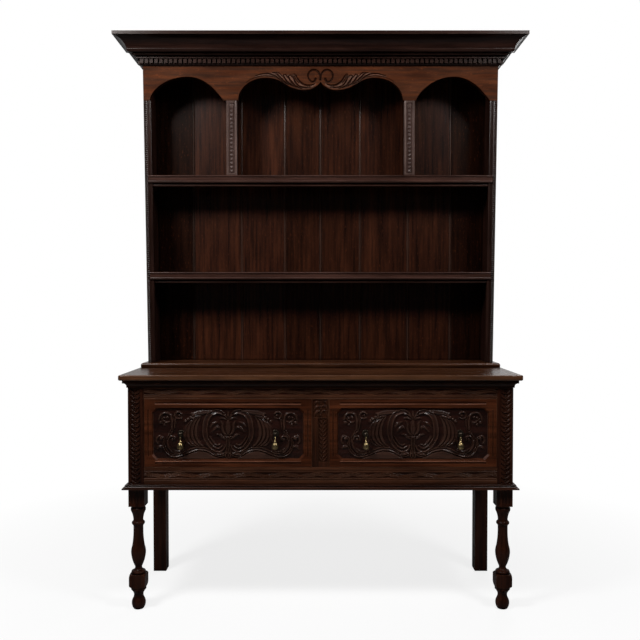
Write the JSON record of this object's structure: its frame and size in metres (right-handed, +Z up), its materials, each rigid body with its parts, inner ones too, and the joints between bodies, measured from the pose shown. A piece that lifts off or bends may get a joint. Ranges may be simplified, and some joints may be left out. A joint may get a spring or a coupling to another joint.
{
  "type": "kitchen dresser",
  "caption": "Dark oak dresser: open plate rack with arched frieze and dentilled cornice over a low base with carved drawers, pear drop pulls and turned front legs.",
  "frame": {"origin": "on the floor, at the middle of the dresser's width and depth", "axes": "+X to the right seen from the front, +Y to the back, +Z up; the drawers open along -Y"},
  "size_m": [1.6212, 0.5, 2.179],
  "materials": {
    "dark_oak": "dark stained oak, waxed satin",
    "drawer_oak": "carved dark oak, waxed satin",
    "worktop_oak": "dark oak, polished",
    "frieze_oak": "red-brown oak, waxed satin",
    "back_oak": "red-brown oak, matt",
    "lining_oak": "plain oak, dry and unpolished",
    "pull_brass": "aged brass, rubbed bright",
    "dark_brass": "brass gone dark",
    "steel": "dull steel"
  },
  "bodies": {
    "root": {"base_back_panel": "lining_oak", "bottom_edge_moulding": "dark_oak", "bottom_front_rail": "dark_oak", "centre_muntin": "dark_oak", "centre_runner": "lining_oak", "cornice_crown": "dark_oak", "dentil_course": "dark_oak", "drawer_guides": "lining_oak", "drawer_kickers": "lining_oak", "drawer_runners": "lining_oak", "drawer_stops": "lining_oak", "frieze_board": "frieze_oak", "left_back_leg": "dark_oak", "left_end_board": "dark_oak", "left_front_leg": "dark_oak", "left_partition": "dark_oak", "left_pilaster": "dark_oak", "left_rack_side": "dark_oak", "left_stile": "dark_oak", "lower_shelf": "dark_oak", "lower_shelf_strip": "dark_oak", "rack_back_boards": "back_oak", "rack_base_board": "worktop_oak", "rack_top_board": "dark_oak", "right_back_leg": "dark_oak", "right_end_board": "dark_oak", "right_front_leg": "dark_oak", "right_partition": "dark_oak", "right_pilaster": "dark_oak", "right_rack_side": "dark_oak", "right_stile": "dark_oak", "top_front_rail": "dark_oak", "upper_shelf": "dark_oak", "upper_shelf_strip": "dark_oak", "wood_screws": "steel", "worktop": "worktop_oak", "worktop_bed_moulding": "dark_oak", "worktop_buttons": "lining_oak"},
    "left_drawer": {"left_drawer_back": "lining_oak", "left_drawer_bottom": "lining_oak", "left_drawer_front": "drawer_oak", "left_drawer_inner_side": "lining_oak", "left_drawer_outer_side": "lining_oak", "left_drawer_pull_nuts": "steel", "left_drawer_pull_plates": "dark_brass", "left_drawer_pull_posts": "dark_brass"},
    "right_drawer": {"right_drawer_back": "lining_oak", "right_drawer_bottom": "lining_oak", "right_drawer_front": "drawer_oak", "right_drawer_inner_side": "lining_oak", "right_drawer_outer_side": "lining_oak", "right_drawer_pull_nuts": "steel", "right_drawer_pull_plates": "dark_brass", "right_drawer_pull_posts": "dark_brass"},
    "left_drawer_inner_drop": {"left_drawer_inner_drop": "pull_brass"},
    "left_drawer_outer_drop": {"left_drawer_outer_drop": "pull_brass"},
    "right_drawer_inner_drop": {"right_drawer_inner_drop": "pull_brass"},
    "right_drawer_outer_drop": {"right_drawer_outer_drop": "pull_brass"}
  },
  "joints": [
    {"name": "left_drawer_slide", "type": "slide", "parent": "root", "child": "left_drawer", "axis": [0, -1, 0], "range_m": [0, 0.3]},
    {"name": "right_drawer_slide", "type": "slide", "parent": "root", "child": "right_drawer", "axis": [0, -1, 0], "range_m": [0, 0.3]},
    {"name": "left_inner_drop_swing", "type": "hinge", "parent": "left_drawer", "child": "left_drawer_inner_drop", "pos_m": [-0.1645, -0.234, 0.64795], "axis": [-1, 0, 0], "range_deg": [0, 95]},
    {"name": "left_outer_drop_swing", "type": "hinge", "parent": "left_drawer", "child": "left_drawer_outer_drop", "pos_m": [-0.5065, -0.234, 0.64795], "axis": [-1, 0, 0], "range_deg": [0, 95]},
    {"name": "right_inner_drop_swing", "type": "hinge", "parent": "right_drawer", "child": "right_drawer_inner_drop", "pos_m": [0.1645, -0.234, 0.64795], "axis": [-1, 0, 0], "range_deg": [0, 95]},
    {"name": "right_outer_drop_swing", "type": "hinge", "parent": "right_drawer", "child": "right_drawer_outer_drop", "pos_m": [0.5065, -0.234, 0.64795], "axis": [-1, 0, 0], "range_deg": [0, 95]}
  ]
}
